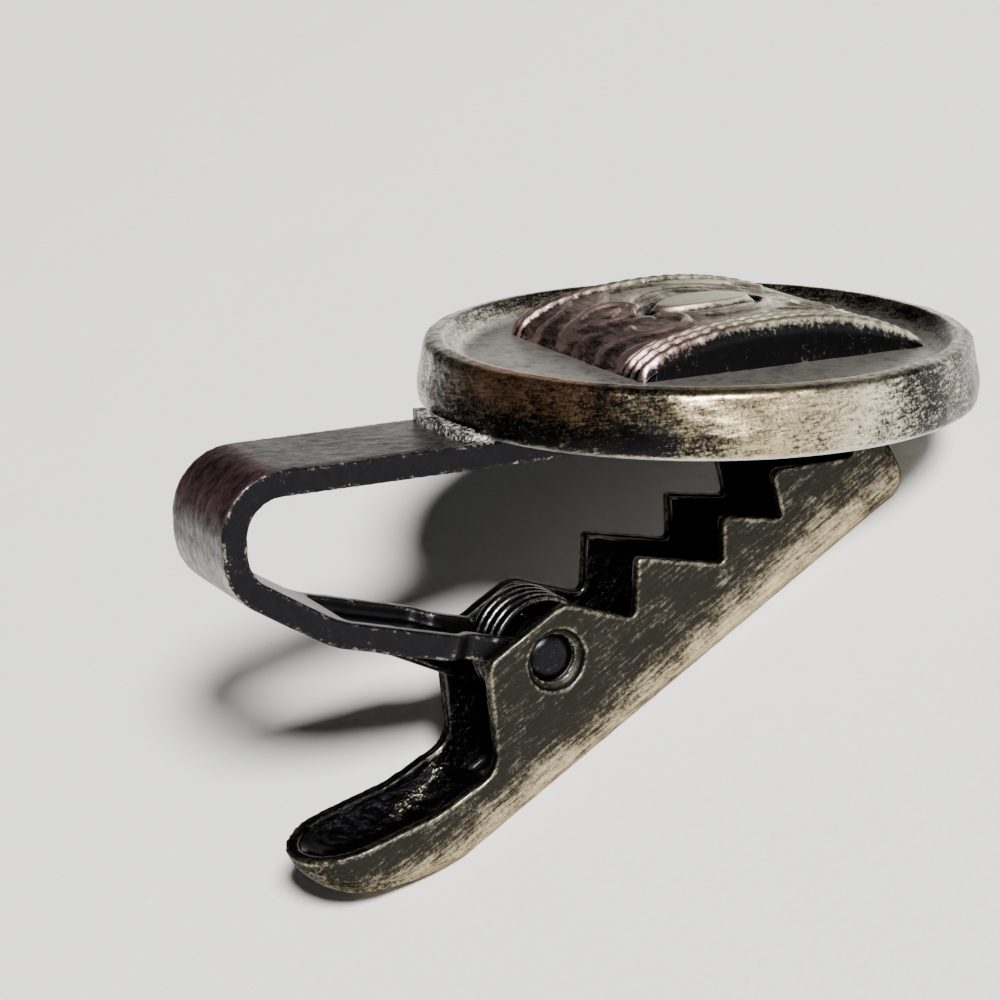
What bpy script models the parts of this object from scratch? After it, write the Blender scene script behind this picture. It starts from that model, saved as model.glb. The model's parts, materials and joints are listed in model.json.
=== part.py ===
"""A round concho on a sprung alligator clip, lying on the spine of its toothed jaw.

The jaw is a folded sheet channel. The strap carries the concho and turns on the hinge pin, which
passes through the ears of both. A torsion spring round the pin holds the clip shut.

Jaw outlines are in millimetres from the pin's axis, X along the spine to the nose and Z up.
Strap and concho outlines are in millimetres from the same axis in the strap's own frame: U along
the strap's flat arm and W square to it, which is the jaw's frame turned about Y by TILT.
"""

import math

import bmesh
import bpy
from mathutils import Vector

MM = 0.001
CUT_REACH = 5.0
OUTLINE_REACH = 25.0

# Hinge
TILT = math.radians(30.9)
PIN_HEIGHT = 4.9
PIN_RADIUS = 1.0
PIN_HALF_LENGTH = 2.2
PIN_CHAMFER = 0.15
FIXED_HOLE_RADIUS = 1.03
TURNING_HOLE_RADIUS = 1.06
COUNTERBORE_RADIUS = 1.35
COUNTERBORE_DEPTH = 0.35

# Jaw
JAW_SHEET = 0.6
JAW_HALF_WIDTH = 2.6
JAW_BEND_RADIUS = 0.9
NOSE_X = 18.6
NOSE_CORNER_RADIUS = 1.1
NOSE_LIFT_RADIUS = 0.7
TAIL_X = -13.75
LEVER_START_X = -8.0
LEVER_RADIUS = 8.6
LEVER_BEND_RADIUS = 2.1
TAIL_LIFT_RADIUS = 1.6
JAW_BLOCK_TOP = 6.0
JAW_HOLLOW_TOP = 8.0

# Strap
STRAP_THICKNESS = 1.14
STRAP_HALF_WIDTH = 2.7
ARM_MIDDLE_W = 9.41
ARM_END_U = 17.3
LOOP_MIDDLE_U = -14.54
LOOP_LOW_W = 5.43
LOWER_ARM_SLOPE = math.radians(15.0)
LOWER_ARM_LENGTH = 10.56
TROUGH_LENGTH = 10.2
TROUGH_FLOOR = 0.5
FLANGE = 0.6
FLOOR_START = 3.6
EAR_OUTER_Y = 1.93
EAR_INNER_Y = 1.38
EAR_RADIUS = 1.75

# Concho, with heights from the top of its ridge
CONCHO_RADIUS = 12.25
CONCHO_CENTRE_U = 8.42
RIDGE_W = 12.98
RIDGE_RADIUS = 11.3
CONCHO_HEIGHT = 2.9
DISH_DEPTH = 0.95
DISH_RADIUS = 10.6
PAD_LEFT = -5.25
PAD_RIGHT = 9.25
PAD_NEAR_Y = -4.0
PAD_FAR_Y = 7.4
PAD_EDGE_HEIGHT = -1.05
PAD_CROWN_HEIGHT = 1.0
PAD_LEFT_FALL = 0.84
PAD_RIGHT_FALL = 1.4

# Solder joint
SOLDER_CLEARANCE = 0.01
SOLDER_HALF_WIDTH = 2.4
SOLDER_END_U = 6.0
BEAD_INNER_RADIUS = 12.3
BEAD_OUTER_RADIUS = 12.8
BEAD_HEIGHT = 0.5

# Spring
WIRE_RADIUS = 0.25
COIL_RADIUS = 2.25
COIL_HALF_SPAN = 1.08
COIL_POINTS = 64
WHOLE_TURNS = 4
JAW_LEG_END = (-4.4, -4.0)
STRAP_LEG_REACH = 7.5

ARC_STEPS = 6
ROUND_STEPS = 48
CONCHO_STEPS = 72


def rounded_corner(before, corner, after, radius, steps=ARC_STEPS):
    """Points of the arc of this radius that joins the two lines meeting at corner."""
    inward, outward = (before - corner).normalized(), (after - corner).normalized()
    half_angle = inward.angle(outward) / 2
    reach = radius / math.tan(half_angle)
    centre = corner + (inward + outward).normalized() * radius / math.sin(half_angle)
    first = corner + inward * reach - centre
    turn = (corner + outward * reach - centre).angle_signed(first)
    spokes = [rotated(first, turn * step / steps) for step in range(steps + 1)]
    return [centre + spoke for spoke in spokes]


def rotated(vector, angle):
    cosine, sine = math.cos(angle), math.sin(angle)
    return Vector((cosine * vector.x - sine * vector.y, sine * vector.x + cosine * vector.y))


def rounded_path(corners, closed=True):
    """A path through (x, y, radius) corners, each rounded by its radius where that isn't 0."""
    places = [Vector(corner[:2]) for corner in corners]
    path = []
    for index, (*_, radius) in enumerate(corners):
        is_end = not closed and index in (0, len(corners) - 1)
        if is_end or radius == 0:
            path.append(places[index])
            continue
        before, after = places[index - 1], places[(index + 1) % len(places)]
        path += rounded_corner(before, places[index], after, radius)
    return path


def arc(centre, radius, start, end, steps):
    angles = [start + (end - start) * step / steps for step in range(steps + 1)]
    return [Vector((centre[0] + radius * math.cos(a), centre[1] + radius * math.sin(a))) for a in angles]


def ribbon(path, thickness):
    """The outline of a strip of this thickness along the path."""
    sides = []
    for index, place in enumerate(path):
        along = path[min(index + 1, len(path) - 1)] - path[max(index - 1, 0)]
        normal = Vector((-along.y, along.x)).normalized()
        sides.append((place + normal * thickness / 2, place - normal * thickness / 2))
    return [left for left, _ in sides] + [right for _, right in reversed(sides)]


def collection(name):
    made = bpy.data.collections.new(name)
    bpy.context.scene.collection.children.link(made)
    return made


def material(name, colour, roughness, metallic):
    made = bpy.data.materials.new(name)
    made.use_nodes = True
    made.diffuse_color = (*colour, 1.0)
    shader = made.node_tree.nodes["Principled BSDF"]
    shader.inputs["Base Color"].default_value = (*colour, 1.0)
    shader.inputs["Roughness"].default_value = roughness
    shader.inputs["Metallic"].default_value = metallic
    return made


def as_mesh(curve_object):
    """Replaces a curve object with a mesh object of the same solid, its caps welded on and each one face."""
    name, home = curve_object.name, curve_object.users_collection[0]
    graph = bpy.context.evaluated_depsgraph_get()
    mesh = bpy.data.meshes.new_from_object(curve_object.evaluated_get(graph))
    shape = bmesh.new()
    shape.from_mesh(mesh)
    bmesh.ops.remove_doubles(shape, verts=shape.verts, dist=1e-7)
    bmesh.ops.dissolve_limit(
        shape, angle_limit=math.radians(0.5), verts=shape.verts, edges=shape.edges
    )
    shape.to_mesh(mesh)
    shape.free()
    matrix, parent = curve_object.matrix_world.copy(), curve_object.parent
    bpy.data.objects.remove(curve_object)
    solid = bpy.data.objects.new(name, mesh)
    home.objects.link(solid)
    solid.parent = parent
    solid.matrix_world = matrix
    return solid


def extruded(name, outline, low, high, home, frame=None, upright=True):
    """The solid of a flat outline in millimetres, from low to high across it.

    An upright outline stands in the XZ plane of its frame and is extruded along Y. Otherwise it
    lies in the XY plane and is extruded along Z.
    """
    curve = bpy.data.curves.new(name, "CURVE")
    curve.dimensions = "2D"
    curve.fill_mode = "BOTH"
    curve.extrude = (high - low) / 2 * MM
    spline = curve.splines.new("POLY")
    spline.points.add(len(outline) - 1)
    for point, place in zip(spline.points, outline):
        point.co = (place[0] * MM, place[1] * MM, 0, 1)
    spline.use_cyclic_u = True
    curve_object = bpy.data.objects.new(name, curve)
    home.objects.link(curve_object)
    curve_object.parent = frame
    middle = (high + low) / 2 * MM
    if upright:
        curve_object.rotation_euler = (math.pi / 2, 0, 0)
        curve_object.location = (0, middle, 0)
    else:
        curve_object.location = (0, 0, middle)
    bpy.context.view_layer.update()
    return as_mesh(curve_object)


def cross_rod(name, radius, low, high, home, frame):
    """A round rod along Y through the frame's origin, from low to high."""
    shape = bmesh.new()
    bmesh.ops.create_cone(
        shape,
        cap_ends=True,
        segments=ROUND_STEPS,
        radius1=radius * MM,
        radius2=radius * MM,
        depth=(high - low) * MM,
    )
    mesh = bpy.data.meshes.new(name)
    shape.to_mesh(mesh)
    shape.free()
    rod = bpy.data.objects.new(name, mesh)
    home.objects.link(rod)
    rod.parent = frame
    rod.rotation_euler = (math.pi / 2, 0, 0)
    rod.location = (0, (high + low) / 2 * MM, 0)
    return rod


def combine(target, other, operation):
    step = target.modifiers.new(f"{operation.title()} {other.name}", "BOOLEAN")
    step.operation = operation
    step.object = other
    other.hide_render = True
    other.display_type = "WIRE"


def soften(target, width, segments=4):
    """Rounds every edge sharper than 40 degrees."""
    step = target.modifiers.new("Bend radius", "BEVEL")
    step.width = width * MM
    step.segments = segments
    step.limit_method = "ANGLE"
    step.angle_limit = math.radians(40)
    step.use_clamp_overlap = False


def finish(part, finish_material, smooth_angle=35):
    part.data.materials.clear()
    part.data.materials.append(finish_material)
    part.data.shade_smooth()
    part.data.set_sharp_from_angle(angle=math.radians(smooth_angle))


def jaw_stations(inset):
    """(x, half width, floor height, bend radius) of cross-sections from the tail to the nose.

    Seen from above the jaw is a bar with a round tail and rounded nose corners. Seen from the side
    its underside is flat, curves up along the lever and is rounded at the tail and at the nose.
    """
    half_width = JAW_HALF_WIDTH - inset
    tail_centre = TAIL_X + JAW_HALF_WIDTH
    quarter = [math.radians(90 * step / 10) for step in range(11)]
    plan = [(tail_centre - half_width * math.cos(t), half_width * math.sin(t)) for t in quarter[1:]]
    steps = 8
    straight = [tail_centre + (LEVER_START_X - tail_centre) * step / steps for step in range(1, steps + 1)]
    plan += [(x, half_width) for x in straight]
    stations = []
    for x, half in plan:
        rise = LEVER_RADIUS - math.sqrt((LEVER_RADIUS - inset) ** 2 - (x - LEVER_START_X) ** 2)
        share = min(1, (LEVER_START_X - x) / (LEVER_START_X - tail_centre))
        bend = JAW_BEND_RADIUS + (LEVER_BEND_RADIUS - JAW_BEND_RADIUS) * share - inset
        lift_radius = TAIL_LIFT_RADIUS - inset
        short = max(0, lift_radius - (x - TAIL_X - inset))
        lift = lift_radius - math.sqrt(lift_radius**2 - short**2)
        stations.append((x, half, rise + lift - PIN_HEIGHT, min(bend, 0.9 * half)))
    bend = JAW_BEND_RADIUS - inset
    corner, lift = NOSE_CORNER_RADIUS - inset, NOSE_LIFT_RADIUS - inset / 2
    for t in quarter[::2]:
        x = NOSE_X - inset - corner * (1 - math.sin(t))
        half = half_width - corner * (1 - math.cos(t))
        stations.append((x, half, inset - PIN_HEIGHT + lift * (1 - math.cos(t)), bend))
    return stations


def jaw_block(name, inset, top, parts, frame):
    """The jaw's outside as a solid block, or its hollow when inset by the sheet's thickness."""
    shape = bmesh.new()
    sections = []
    for x, half, floor, bend in jaw_stations(inset):
        near_bend = arc((-half + bend, floor + bend), bend, math.pi, 1.5 * math.pi, 5)
        far_bend = arc((half - bend, floor + bend), bend, 1.5 * math.pi, math.tau, 5)
        outline = [(-half, top), *near_bend, *far_bend, (half, top)]
        sections.append([shape.verts.new((x * MM, y * MM, z * MM)) for y, z in outline])
    for back, front in zip(sections, sections[1:]):
        for index in range(len(back)):
            following = (index + 1) % len(back)
            shape.faces.new((back[index], back[following], front[following], front[index]))
    shape.faces.new(reversed(sections[0]))
    shape.faces.new(sections[-1])
    bmesh.ops.recalc_face_normals(shape, faces=shape.faces)
    mesh = bpy.data.meshes.new(name)
    shape.to_mesh(mesh)
    shape.free()
    block = bpy.data.objects.new(name, mesh)
    parts.objects.link(block)
    block.parent = frame
    return block


def make_jaw(parts, cutters, frame):
    """A folded channel with three teeth, a nose lip, two ears and a spoon-shaped lever."""
    jaw = jaw_block("jaw", 0, JAW_BLOCK_TOP, parts, frame)
    hollow = jaw_block("jaw_hollow", JAW_SHEET, JAW_HOLLOW_TOP, cutters, frame)
    combine(jaw, hollow, "DIFFERENCE")
    edge = [
        (-OUTLINE_REACH, -OUTLINE_REACH, 0),
        (NOSE_X + 1, -OUTLINE_REACH, 0),
        (NOSE_X + 1, -1.5, 0),
        (17.29, -0.13, 0.2),
        (16.4, -1.64, 0.2),
        (12.75, 0.45, 0.35),
        (12.1, -1.75, 0.15),
        (9.7, 0.25, 0.15),
        (8.7, -1.6, 0.15),
        (5.45, 1.4, 0.2),
        (3.95, -0.9, 0.25),
        (1.6, 1.9, 0.9),
        (-2.7, 1.95, 0.8),
        (-4.75, -2.4, 1.2),
        (-8.0, -2.15, 3.0),
        (-OUTLINE_REACH, 2.6, 0),
    ]
    kept = extruded("jaw_edge", rounded_path(edge), -CUT_REACH, CUT_REACH, cutters, frame)
    combine(jaw, kept, "INTERSECT")
    hole = cross_rod("jaw_pin_hole", FIXED_HOLE_RADIUS, -CUT_REACH, CUT_REACH, cutters, frame)
    combine(jaw, hole, "DIFFERENCE")
    bore_start = JAW_HALF_WIDTH - COUNTERBORE_DEPTH
    for side, low, high in (("near", -CUT_REACH, -bore_start), ("far", bore_start, CUT_REACH)):
        bore = cross_rod(f"jaw_counterbore_{side}", COUNTERBORE_RADIUS, low, high, cutters, frame)
        combine(jaw, bore, "DIFFERENCE")
    return jaw


def make_pin(parts, frame):
    """A plain rod with chamfered ends, pressed into the jaw's ears."""
    pin = cross_rod("hinge_pin", PIN_RADIUS, -PIN_HALF_LENGTH, PIN_HALF_LENGTH, parts, frame)
    soften(pin, PIN_CHAMFER, segments=2)
    return pin


def tangent_angle(place, side):
    """The angle on the coil where a straight leg from this place meets it."""
    reach = math.hypot(*place)
    return math.atan2(place[1], place[0]) + side * math.acos(COIL_RADIUS / reach)


def make_spring(parts, frame):
    """A torsion coil round the pin. One leg presses on the jaw's spine, the other under the strap."""
    arm_angle = math.pi - TILT - LOWER_ARM_SLOPE
    along = Vector((math.cos(arm_angle), math.sin(arm_angle)))
    drop = STRAP_THICKNESS / 2 + WIRE_RADIUS + 0.03
    strap_leg_end = along * STRAP_LEG_REACH + Vector((-along.y, along.x)) * drop
    start = tangent_angle(JAW_LEG_END, -1) % math.tau
    end = tangent_angle(strap_leg_end, 1) % math.tau - math.tau * WHOLE_TURNS
    places = [(*JAW_LEG_END, -COIL_HALF_SPAN)]
    for step in range(COIL_POINTS + 1):
        share = step / COIL_POINTS
        angle = start + (end - start) * share
        across = COIL_HALF_SPAN * (2 * share - 1)
        places.append((COIL_RADIUS * math.cos(angle), COIL_RADIUS * math.sin(angle), across))
    places.append((*strap_leg_end, COIL_HALF_SPAN))
    curve = bpy.data.curves.new("torsion_spring", "CURVE")
    curve.dimensions = "3D"
    curve.bevel_depth = WIRE_RADIUS * MM
    curve.bevel_resolution = 2
    curve.use_fill_caps = True
    spline = curve.splines.new("POLY")
    spline.points.add(len(places) - 1)
    for point, (along_x, up, across) in zip(spline.points, places):
        point.co = (along_x * MM, across * MM, up * MM, 1)
    spring = bpy.data.objects.new("torsion_spring", curve)
    parts.objects.link(spring)
    spring.parent = frame
    return as_mesh(spring)


def lower_arm(along, across):
    """A place on the strap's lower arm: its distance from the pin, and its height off the arm's middle."""
    cosine, sine = math.cos(LOWER_ARM_SLOPE), math.sin(LOWER_ARM_SLOPE)
    return Vector((-along * cosine + across * sine, along * sine + across * cosine))


def make_strap(parts, cutters, frame):
    """A flat arm, a loop and a troughed lower arm that narrows to two ears on the pin."""
    knee = lower_arm(LOWER_ARM_LENGTH, 0)
    corners = [
        (ARM_END_U, ARM_MIDDLE_W, 0),
        (LOOP_MIDDLE_U - 0.05, ARM_MIDDLE_W, 2.1),
        (LOOP_MIDDLE_U, LOOP_LOW_W, 2.2),
        (knee.x, knee.y, 5.0),
        (0, 0, 0),
    ]
    path = rounded_path(corners, closed=False)
    band = ribbon(path, STRAP_THICKNESS)
    strap = extruded("strap", band, -STRAP_HALF_WIDTH, STRAP_HALF_WIDTH, parts, frame)
    ear = cross_rod("strap_ear", EAR_RADIUS, -STRAP_HALF_WIDTH, STRAP_HALF_WIDTH, cutters, frame)
    combine(strap, ear, "UNION")

    arm_frame = bpy.data.objects.new("lower_arm_frame", None)
    cutters.objects.link(arm_frame)
    arm_frame.parent = frame
    arm_frame.rotation_euler = (0, LOWER_ARM_SLOPE, 0)
    bpy.context.view_layer.update()
    inner = STRAP_HALF_WIDTH - FLANGE
    trough = [
        (-TROUGH_LENGTH, -inner, 1.2),
        (-4.9, -inner, 0),
        (-4.0, -EAR_INNER_Y, 0),
        (4, -EAR_INNER_Y, 0),
        (4, EAR_INNER_Y, 0),
        (-4.0, EAR_INNER_Y, 0),
        (-4.9, inner, 0),
        (-TROUGH_LENGTH, inner, 1.2),
    ]
    floor_top = TROUGH_FLOOR - STRAP_THICKNESS / 2
    cut = extruded("strap_trough", rounded_path(trough), floor_top, 4, cutters, arm_frame, upright=False)
    combine(strap, cut, "DIFFERENCE")
    slot = [(-FLOOR_START, -EAR_INNER_Y), (4, -EAR_INNER_Y), (4, EAR_INNER_Y), (-FLOOR_START, EAR_INNER_Y)]
    cut = extruded("strap_slot", slot, -4, 4, cutters, arm_frame, upright=False)
    combine(strap, cut, "DIFFERENCE")
    for side, sign in (("near", -1), ("far", 1)):
        relief = [(-5.3, 3.05), (-5.0, 2.75), (-3.9, EAR_OUTER_Y), (4, EAR_OUTER_Y), (4, 3.05)]
        relief = [(x, sign * y) for x, y in relief]
        cut = extruded(f"strap_relief_{side}", relief, -4, 4, cutters, arm_frame, upright=False)
        combine(strap, cut, "DIFFERENCE")
    hole = cross_rod("strap_pin_hole", TURNING_HOLE_RADIUS, -CUT_REACH, CUT_REACH, cutters, frame)
    combine(strap, hole, "DIFFERENCE")
    return strap


def concho_profile():
    """(radius, height) down the concho's section, from the dish's middle over the rim to the back."""
    half = CONCHO_RADIUS
    return [
        (0, -DISH_DEPTH),
        (DISH_RADIUS - 0.8, -DISH_DEPTH),
        (DISH_RADIUS, -DISH_DEPTH + 0.2),
        (RIDGE_RADIUS - 0.25, -0.12),
        (RIDGE_RADIUS, 0),
        (RIDGE_RADIUS + 0.4, -0.12),
        (half - 0.28, -0.55),
        (half - 0.08, -1.3),
        (half, -2.1),
        (half - 0.08, -2.6),
        (half - 0.35, -CONCHO_HEIGHT),
        (0, -CONCHO_HEIGHT),
    ]


def pad_vault(steps=24):
    """The pad's top from right to left: half an ellipse whose two sides fall at their own rates."""
    middle, chord = (PAD_LEFT + PAD_RIGHT) / 2, (PAD_RIGHT - PAD_LEFT) / 2
    vault = []
    for step in range(steps + 1):
        turn = math.pi * step / steps
        power = PAD_RIGHT_FALL if step < steps / 2 else PAD_LEFT_FALL
        rise = abs(math.sin(turn)) ** power if 0 < step < steps else 0
        height = PAD_EDGE_HEIGHT + (PAD_CROWN_HEIGHT - PAD_EDGE_HEIGHT) * rise
        vault.append((middle + chord * math.cos(turn), height))
    return vault


def make_concho(parts, cutters, frame):
    """A turned dish with a thick rounded rim, and a barrel-vaulted pad standing in it."""
    shape = bmesh.new()
    places = [shape.verts.new((radius * MM, 0, height * MM)) for radius, height in concho_profile()]
    for first, second in zip(places, places[1:]):
        shape.edges.new((first, second))
    mesh = bpy.data.meshes.new("concho")
    shape.to_mesh(mesh)
    shape.free()
    concho = bpy.data.objects.new("concho", mesh)
    parts.objects.link(concho)
    concho.parent = frame
    concho.location = (CONCHO_CENTRE_U * MM, 0, RIDGE_W * MM)
    turn = concho.modifiers.new("Turn", "SCREW")
    turn.steps = turn.render_steps = CONCHO_STEPS
    turn.use_merge_vertices = True
    turn.merge_threshold = 1e-6
    bpy.context.view_layer.update()

    bottom = -CONCHO_HEIGHT + 0.5
    outline = [*pad_vault(), (PAD_LEFT, bottom), (PAD_RIGHT, bottom)]
    pad = extruded("concho_pad", outline, PAD_NEAR_Y, PAD_FAR_Y, cutters, concho)
    within = [(place.x, place.y) for place in arc((0, 0), DISH_RADIUS + 0.1, 0, math.tau, ROUND_STEPS)[:-1]]
    limit = extruded("concho_pad_limit", within, -CUT_REACH, CUT_REACH, cutters, concho, upright=False)
    combine(pad, limit, "INTERSECT")
    combine(concho, pad, "UNION")
    return concho


def make_solder(parts, cutters, frame):
    """A thin layer of solder between strap and concho, with a bead along the concho's edge."""
    arm_top = ARM_MIDDLE_W + STRAP_THICKNESS / 2
    low, layer_top = arm_top + SOLDER_CLEARANCE, RIDGE_W - CONCHO_HEIGHT - SOLDER_CLEARANCE
    middle_radius = (BEAD_INNER_RADIUS + BEAD_OUTER_RADIUS) / 2
    lean = math.asin(SOLDER_HALF_WIDTH / middle_radius)
    centre = (CONCHO_CENTRE_U, 0)
    outer = arc(centre, BEAD_OUTER_RADIUS, math.pi - lean, math.pi + lean, 10)
    inner = arc(centre, BEAD_INNER_RADIUS, math.pi + lean, math.pi - lean, 10)
    middle = arc(centre, middle_radius, math.pi - lean, math.pi + lean, 10)
    layer = [*middle, (SOLDER_END_U, -SOLDER_HALF_WIDTH), (SOLDER_END_U, SOLDER_HALF_WIDTH)]
    solder = extruded("solder_joint", layer, low, layer_top, parts, frame, upright=False)
    bead = extruded("solder_bead", [*outer, *inner], low, low + BEAD_HEIGHT, cutters, frame, upright=False)
    combine(solder, bead, "UNION")
    return solder


def make_frames(parts):
    """Empties at the pin: the jaw's frame, and inside it the strap's, turned by TILT.

    The pin stands where the whole clip, from the lever's tail to the concho's rim, is centred on X.
    """
    right = max(
        (CONCHO_CENTRE_U + radius) * math.cos(TILT) + (RIDGE_W + height) * math.sin(TILT)
        for radius, height in concho_profile()
    )
    left = jaw_stations(0)[0][0]
    jaw_frame = bpy.data.objects.new("jaw_frame", None)
    jaw_frame.location = (-(left + right) / 2 * MM, 0, PIN_HEIGHT * MM)
    strap_frame = bpy.data.objects.new("strap_frame", None)
    strap_frame.parent = jaw_frame
    strap_frame.rotation_euler = (0, TILT, 0)
    for frame in (jaw_frame, strap_frame):
        frame.empty_display_size = 5 * MM
        parts.objects.link(frame)
    bpy.context.view_layer.update()
    return jaw_frame, strap_frame


def main():
    for leftover in list(bpy.data.objects):
        bpy.data.objects.remove(leftover)
    parts, cutters = collection("concho_clip"), collection("cutters")
    jaw_frame, strap_frame = make_frames(parts)
    worn_silver = material("worn_silver", (0.36, 0.34, 0.29), 0.38, 1.0)
    dark_silver = material("dark_silver", (0.13, 0.12, 0.115), 0.42, 1.0)
    black_steel = material("black_steel", (0.05, 0.05, 0.055), 0.35, 1.0)
    grey_solder = material("grey_solder", (0.45, 0.44, 0.41), 0.6, 1.0)
    finish(make_jaw(parts, cutters, jaw_frame), dark_silver)
    finish(make_pin(parts, jaw_frame), black_steel)
    finish(make_spring(parts, jaw_frame), black_steel, smooth_angle=60)
    finish(make_strap(parts, cutters, strap_frame), dark_silver)
    finish(make_concho(parts, cutters, strap_frame), worn_silver)
    finish(make_solder(parts, cutters, strap_frame), grey_solder)


main()
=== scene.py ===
"""The looks of a worn silver concho on a sprung alligator clip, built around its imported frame.

Shapes are worked out in millimetres. The strap, the concho and its solder are set out in the
strap's own frame, (u, y, w) from the pin's axis: u along the flat arm, w square to it. That frame
is the row's frame turned about Y by the clip's tilt.
"""
import json
import math

import bmesh
import bpy
import numpy as np
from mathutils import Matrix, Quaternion, Vector


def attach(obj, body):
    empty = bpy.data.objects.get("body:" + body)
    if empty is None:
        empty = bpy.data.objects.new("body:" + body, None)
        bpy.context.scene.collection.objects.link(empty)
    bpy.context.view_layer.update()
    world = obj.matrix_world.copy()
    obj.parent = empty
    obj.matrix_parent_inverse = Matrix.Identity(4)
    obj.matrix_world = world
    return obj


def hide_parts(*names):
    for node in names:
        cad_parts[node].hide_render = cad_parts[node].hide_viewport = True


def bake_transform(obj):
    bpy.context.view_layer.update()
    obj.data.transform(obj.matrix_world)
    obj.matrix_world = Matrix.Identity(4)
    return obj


bl_info = {
    "name": "Concho Clip",
    "version": (1, 0, 0),
    "blender": (4, 5, 0),
    "location": "3D View > Sidebar > Concho Clip",
    "description": "Builds a worn silver concho on an alligator clip, piece by piece",
    "category": "Add Mesh",
}

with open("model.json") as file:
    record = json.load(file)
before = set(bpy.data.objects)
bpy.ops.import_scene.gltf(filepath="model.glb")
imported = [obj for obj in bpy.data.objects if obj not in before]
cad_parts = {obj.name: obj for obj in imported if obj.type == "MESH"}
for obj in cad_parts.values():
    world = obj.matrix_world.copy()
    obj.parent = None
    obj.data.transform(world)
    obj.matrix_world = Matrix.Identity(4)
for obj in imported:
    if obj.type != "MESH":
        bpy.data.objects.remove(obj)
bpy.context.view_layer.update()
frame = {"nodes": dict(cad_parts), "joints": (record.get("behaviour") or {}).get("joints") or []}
MM = 0.001
PIN = np.array(frame["joints"][0]["pos_m"]) / MM
JAW_BODY, STRAP_BODY = "jaw_body", "strap_body"

# In millimetres: two places as (u, w), how far from the pin the strip ends and the ears reach, how
# far the trough's wall is from the strap's middle, and the radius of the disc's ridge
LOOP_MIDDLE = (-11.0, 7.4)
TARNISH_MIDDLE = (-14.4, 9.6)
STRIP_END = 3.6
EAR_REACH = 3.9
FLANGE_INSIDE = 2.1
RIDGE_RADIUS = 11.3


# Sizes and colours


def length(name, description, millimetres):
    """A length, with its default in millimetres."""
    return bpy.props.FloatProperty(
        name=name, description=description, default=millimetres * MM, unit="LENGTH", precision=5
    )


def angle(name, description, degrees):
    return bpy.props.FloatProperty(
        name=name, description=description, default=math.radians(degrees), unit="ROTATION"
    )


def amount(name, description, value):
    return bpy.props.FloatProperty(name=name, description=description, default=value)


def tint(name, description, red, green, blue):
    return bpy.props.FloatVectorProperty(
        name=name, description=description, default=(red, green, blue, 1.0),
        size=4, subtype="COLOR", min=0, max=1,
    )


def direction(name, description, toward):
    return bpy.props.FloatVectorProperty(
        name=name, description=description, default=toward, size=3, subtype="DIRECTION"
    )


class ConchoSettings(bpy.types.PropertyGroup):
    """The turned disc and the barrel-vaulted pad that stands in its dish."""

    centre_u: length("Centre along the arm", "How far the disc's middle is from the pin along the arm", 8.42)
    ridge_w: length("Ridge height", "Height of the rim's ridge over the pin, square to the arm", 12.98)
    radius: length("Radius", "Widest radius of the disc", 12.25)
    height: length("Height", "From the disc's back to its ridge", 2.9)
    dish_depth: length("Dish depth", "How far the dish's floor is below the ridge", 0.95)
    pad_left: length("Pad left", "Left end of the pad from the disc's middle", -5.35)
    pad_right: length("Pad right", "Right end of the pad from the disc's middle", 9.25)
    pad_near: length("Pad near side", "Near wall of the pad from the disc's middle", -4.3)
    pad_far: length("Pad far side", "Far wall of the pad from the disc's middle", 7.4)
    pad_edge: length("Pad edge height", "Height of the vault's low edges over the ridge", -1.05)
    pad_crown: length("Pad crown height", "Height of the vault's crown over the ridge", 1.05)
    relief: length("Relief", "Height of the pad's ornament", 0.36)
    boss_u: length("Boss place", "Middle of the pad's boss along the arm, from the disc's", 1.08)
    boss_y: length("Boss side place", "Middle of the pad's boss across the arm, from the disc's", 1.35)
    fillet: length("Pad fillet", "Radius of the pad's rounded edges", 0.42)


class StrapSettings(bpy.types.PropertyGroup):
    """The looped strap that carries the concho."""

    tilt: angle("Tilt", "Angle between the strap's flat arm and the jaw's spine", 30.9)
    thickness: length("Thickness", "Thickness of the strap's metal", 1.14)
    half_width: length("Half width", "Half the strap's width", 2.7)
    arm_w: length("Arm height", "Height of the flat arm's middle over the pin", 9.41)
    arm_end: length("Arm end", "Where the flat arm ends under the disc", 17.3)
    loop_u: length("Loop", "Where the loop's middle stands behind the pin", -14.54)
    loop_low_w: length("Loop's low end", "Height over the pin where the loop meets the lower arm", 5.43)
    slope: angle("Lower arm slope", "Slope of the lower arm away from the flat arm", 15.0)
    lower_arm: length("Lower arm", "Length of the lower arm from the pin to its knee", 10.56)
    trough: length("Trough", "Length of the lower arm's trough from the pin", 10.2)
    trough_depth: length("Trough depth", "Depth of the lower arm's trough", 0.64)
    ear_radius: length("Ear radius", "Radius of the ears round the pin", 1.75)
    ear_outer: length("Ear's outside", "How far the ears' outsides are from the middle", 1.93)
    ear_inner: length("Ear's inside", "How far the ears' insides are from the middle", 1.38)
    hole_radius: length("Hole radius", "Radius of the ears' hole", 1.06)


class JawSettings(bpy.types.PropertyGroup):
    """The folded jaw, with a bowl dished into its lever. Places along it are from the pin."""

    lever_start: length("Lever start", "Where the spine begins to lift", -8.0)
    lever_radius: length("Lever radius", "Radius of the lever's lift", 8.6)
    tail_middle: length("Tail middle", "Middle of the tail's half round", -11.15)
    lip_place: length("Lip's low place", "Where the lever's lip is lowest", -6.65)
    lip_height: length("Lip height", "Height of the lip where it is lowest", 2.33)
    lip_round: length("Lip round", "Half the length over which the lip turns from falling to rising", 0.8)
    lip_rise: amount("Lip rise", "How steeply the lip rises to the tail", 0.32)
    bowl_depth: length("Bowl depth", "How far the bowl's floor is below the lip", 1.25)
    bowl_floor: length("Bowl floor", "Least height of the bowl's floor over the lever's underside", 0.62)
    grain: length("Surface grain", "Spacing of the points on the jaw's and the strap's surfaces", 0.1)


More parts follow.
